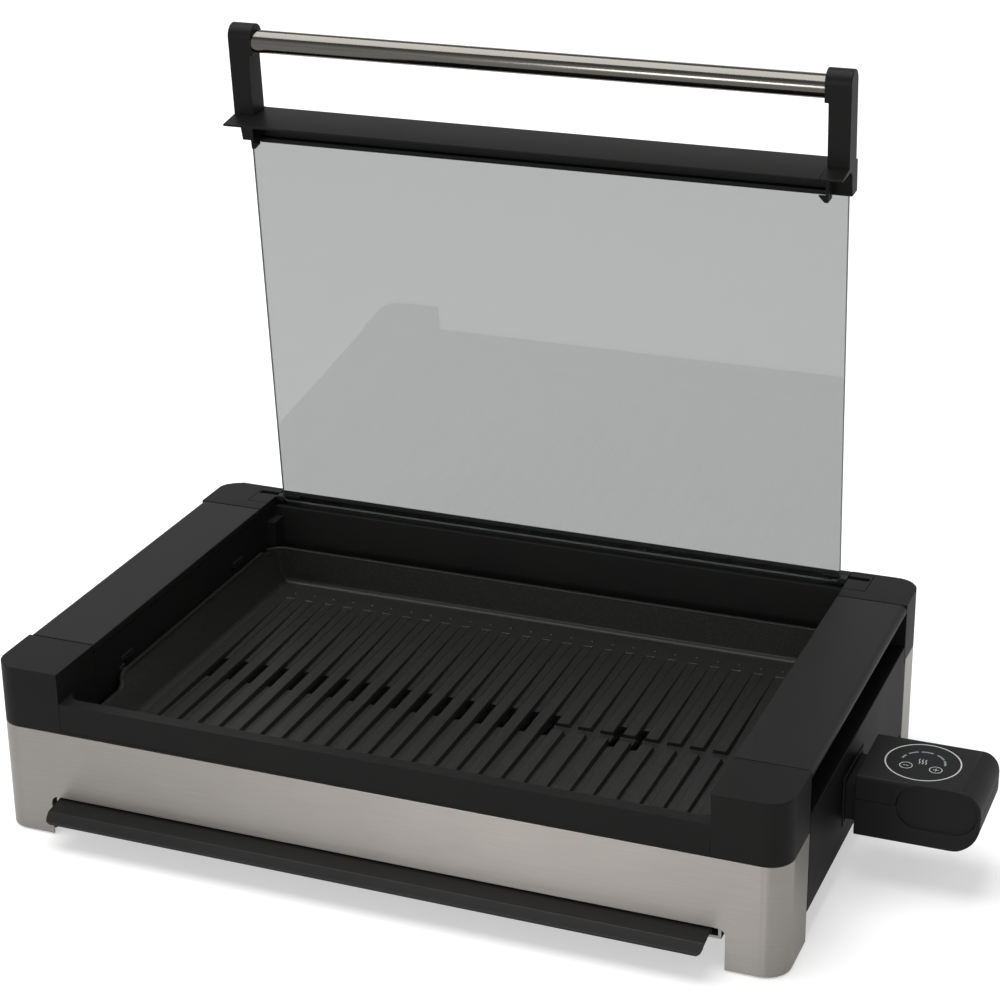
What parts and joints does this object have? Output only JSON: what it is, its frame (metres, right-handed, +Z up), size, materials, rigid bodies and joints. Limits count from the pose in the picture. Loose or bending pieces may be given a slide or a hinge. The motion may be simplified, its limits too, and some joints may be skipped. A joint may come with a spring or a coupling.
{
  "type": "electric indoor grill with glass lid",
  "caption": "Countertop electric grill with ribbed lift-out plate, hinged glass lid with bar handle, pull-out drip tray and plug-in touch control unit.",
  "frame": {"origin": "centre of the overall box in plan, on the table surface under the feet", "axes": "+X towards the control unit, -Y towards the front, +Z up"},
  "size_m": [0.6052, 0.343, 0.4697],
  "materials": {
    "steel": "brushed stainless steel",
    "black_body": "fine-grained black heat-resistant plastic",
    "side_bars": "fine-grained black plastic",
    "rubber": "black rubber",
    "sheet_steel": "plain sheet steel",
    "dark_steel": "black coated spring steel",
    "element_tube": "oxidised heating tube",
    "ceramic_socket": "black thermoset",
    "contacts": "nickel-plated brass",
    "tray": "black heat-resistant plastic",
    "plate": "black non-stick coating on cast aluminium",
    "control_shell": "black plastic",
    "touch_glass": "gloss black touch panel",
    "circuit": "green circuit board",
    "glass": "clear tempered glass",
    "seal": "black silicone",
    "lid_black": "black plastic",
    "tube_steel": "polished stainless steel tube",
    "screws": "zinc-plated steel"
  },
  "bodies": {
    "base": {"steel_front": "steel", "steel_rear": "steel", "upper_frame": "black_body", "side_bar_left": "side_bars", "side_bar_right": "side_bars", "side_panel_left": "black_body", "side_panel_right": "black_body", "hinge_cover_left": "black_body", "hinge_cover_right": "black_body", "foot_pads": "rubber", "heat_shield": "sheet_steel", "plate_posts": "dark_steel", "plate_guides": "dark_steel", "heating_element": "element_tube", "element_straps": "sheet_steel", "socket_housing": "ceramic_socket", "contact_pins": "contacts", "tray_runner_left": "sheet_steel", "tray_runner_right": "sheet_steel", "frame_screws": "screws"},
    "lid": {"lid_glass": "glass", "glass_seal": "seal", "lid_crossbar": "lid_black", "handle_bracket_left": "lid_black", "handle_bracket_right": "lid_black", "handle_tube": "tube_steel", "hinge_shoe_left": "dark_steel", "hinge_shoe_right": "dark_steel", "bracket_screws": "screws"},
    "plate": {"grill_plate": "plate"},
    "tray": {"drip_tray": "tray"},
    "control": {"control_upper": "control_shell", "control_lower": "control_shell", "touch_panel": "touch_glass", "plug_nose": "ceramic_socket", "plug_sleeves": "contacts", "probe_rod": "tube_steel", "control_board": "circuit", "cord_gland": "rubber", "control_screws": "screws"}
  },
  "joints": [
    {"name": "lid_hinge", "type": "hinge", "parent": "base", "child": "lid", "pos_m": [-0.0426, 0.1605, 0.113], "axis": [1, 0, 0], "range_deg": [0, 85.47]},
    {"name": "plate_lift", "type": "slide", "parent": "base", "child": "plate", "axis": [0, 0, 1], "range_m": [0, 0.14]},
    {"name": "tray_slide", "type": "slide", "parent": "base", "child": "tray", "axis": [0, -1, 0], "range_m": [0, 0.2]},
    {"name": "control_plug", "type": "slide", "parent": "base", "child": "control", "axis": [1, 0, 0], "range_m": [0, 0.076]}
  ]
}
